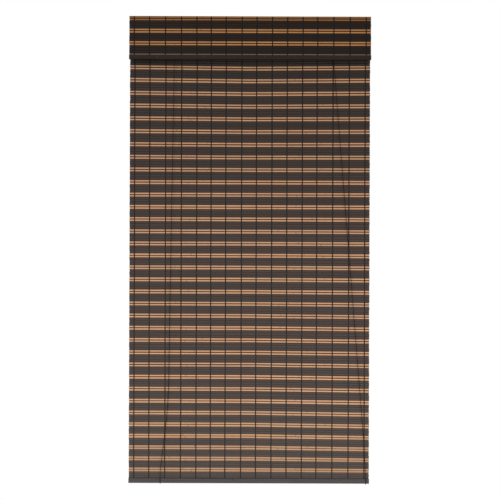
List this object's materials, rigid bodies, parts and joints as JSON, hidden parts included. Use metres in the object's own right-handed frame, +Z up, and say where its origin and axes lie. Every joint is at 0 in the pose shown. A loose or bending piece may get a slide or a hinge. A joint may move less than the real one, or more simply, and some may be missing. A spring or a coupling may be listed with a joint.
{
  "type": "bamboo roll up blind",
  "caption": "Roll-up window blind of striped natural and dark bamboo slats woven on threads, with a folded valance over the headrail, lift cords, a pulley and a cord lock.",
  "frame": {"origin": "on the wall plane, midway between the two wall screw holes", "axes": "+Z up, +X to the right seen from the front, +Y into the wall; the blind faces -Y"},
  "size_m": [0.914, 0.04, 1.775],
  "materials": {
    "natural_bamboo": "satin, unfinished bamboo skin",
    "dark_bamboo": "satin, dark brown stain",
    "dark_lath": "satin, dark brown stain",
    "raw_wood": "planed, unfinished",
    "black_thread": "matt spun thread",
    "dark_cord": "matt braided cord",
    "zinc_steel": "bright zinc plating",
    "nail_steel": "dark lacquer",
    "wheel_plastic": "moulded, slightly glossy"
  },
  "bodies": {
    "blind": {"natural_slats": "natural_bamboo", "dark_slats": "dark_bamboo", "valance_natural_slats": "natural_bamboo", "valance_dark_slats": "dark_bamboo", "top_slats": "dark_bamboo", "warp_threads": "black_thread", "valance_warp_threads": "black_thread", "headrail": "raw_wood", "rear_lath": "raw_wood", "valance_lath": "dark_lath", "valance_back_lath": "dark_lath", "bottom_lath": "dark_lath", "bottom_back_lath": "dark_lath", "rear_lath_nails": "zinc_steel", "valance_lath_nails": "nail_steel", "bottom_lath_nails": "nail_steel", "valance_tacks": "nail_steel", "pulley_bracket": "zinc_steel", "pulley_pin": "zinc_steel", "pulley_screws": "zinc_steel", "lock_housing": "zinc_steel", "lock_spacer": "zinc_steel", "lock_wheel_pin": "zinc_steel", "lock_cam_pin": "zinc_steel", "lock_screws": "zinc_steel", "cord_guide": "zinc_steel", "left_lift_cord": "dark_cord", "right_lift_cord": "dark_cord", "left_pull_hank": "dark_cord", "right_pull_hank": "dark_cord", "hank_tie": "black_thread", "anchor_knots": "dark_cord", "pull_cord_knots": "dark_cord"},
    "pulley_wheel": {"pulley_wheel": "wheel_plastic"},
    "lock_front_wheel": {"lock_front_wheel": "wheel_plastic"},
    "lock_rear_wheel": {"lock_rear_wheel": "wheel_plastic"},
    "lock_cam": {"lock_cam": "zinc_steel"}
  },
  "joints": [
    {"name": "pulley_wheel_turn", "type": "hinge", "parent": "blind", "child": "pulley_wheel", "pos_m": [0.296, -0.0184, -0.0345], "axis": [0, 1, 0], "continuous": true},
    {"name": "lock_front_wheel_turn", "type": "hinge", "parent": "blind", "child": "lock_front_wheel", "pos_m": [-0.296, -0.0256, -0.0345], "axis": [0, 1, 0], "continuous": true},
    {"name": "lock_rear_wheel_turn", "type": "hinge", "parent": "blind", "child": "lock_rear_wheel", "pos_m": [-0.296, -0.0184, -0.0345], "axis": [0, 1, 0], "continuous": true},
    {"name": "lock_cam_swing", "type": "hinge", "parent": "blind", "child": "lock_cam", "pos_m": [-0.31536, -0.022, -0.0355], "axis": [0, -1, 0], "range_deg": [0, 40]}
  ]
}
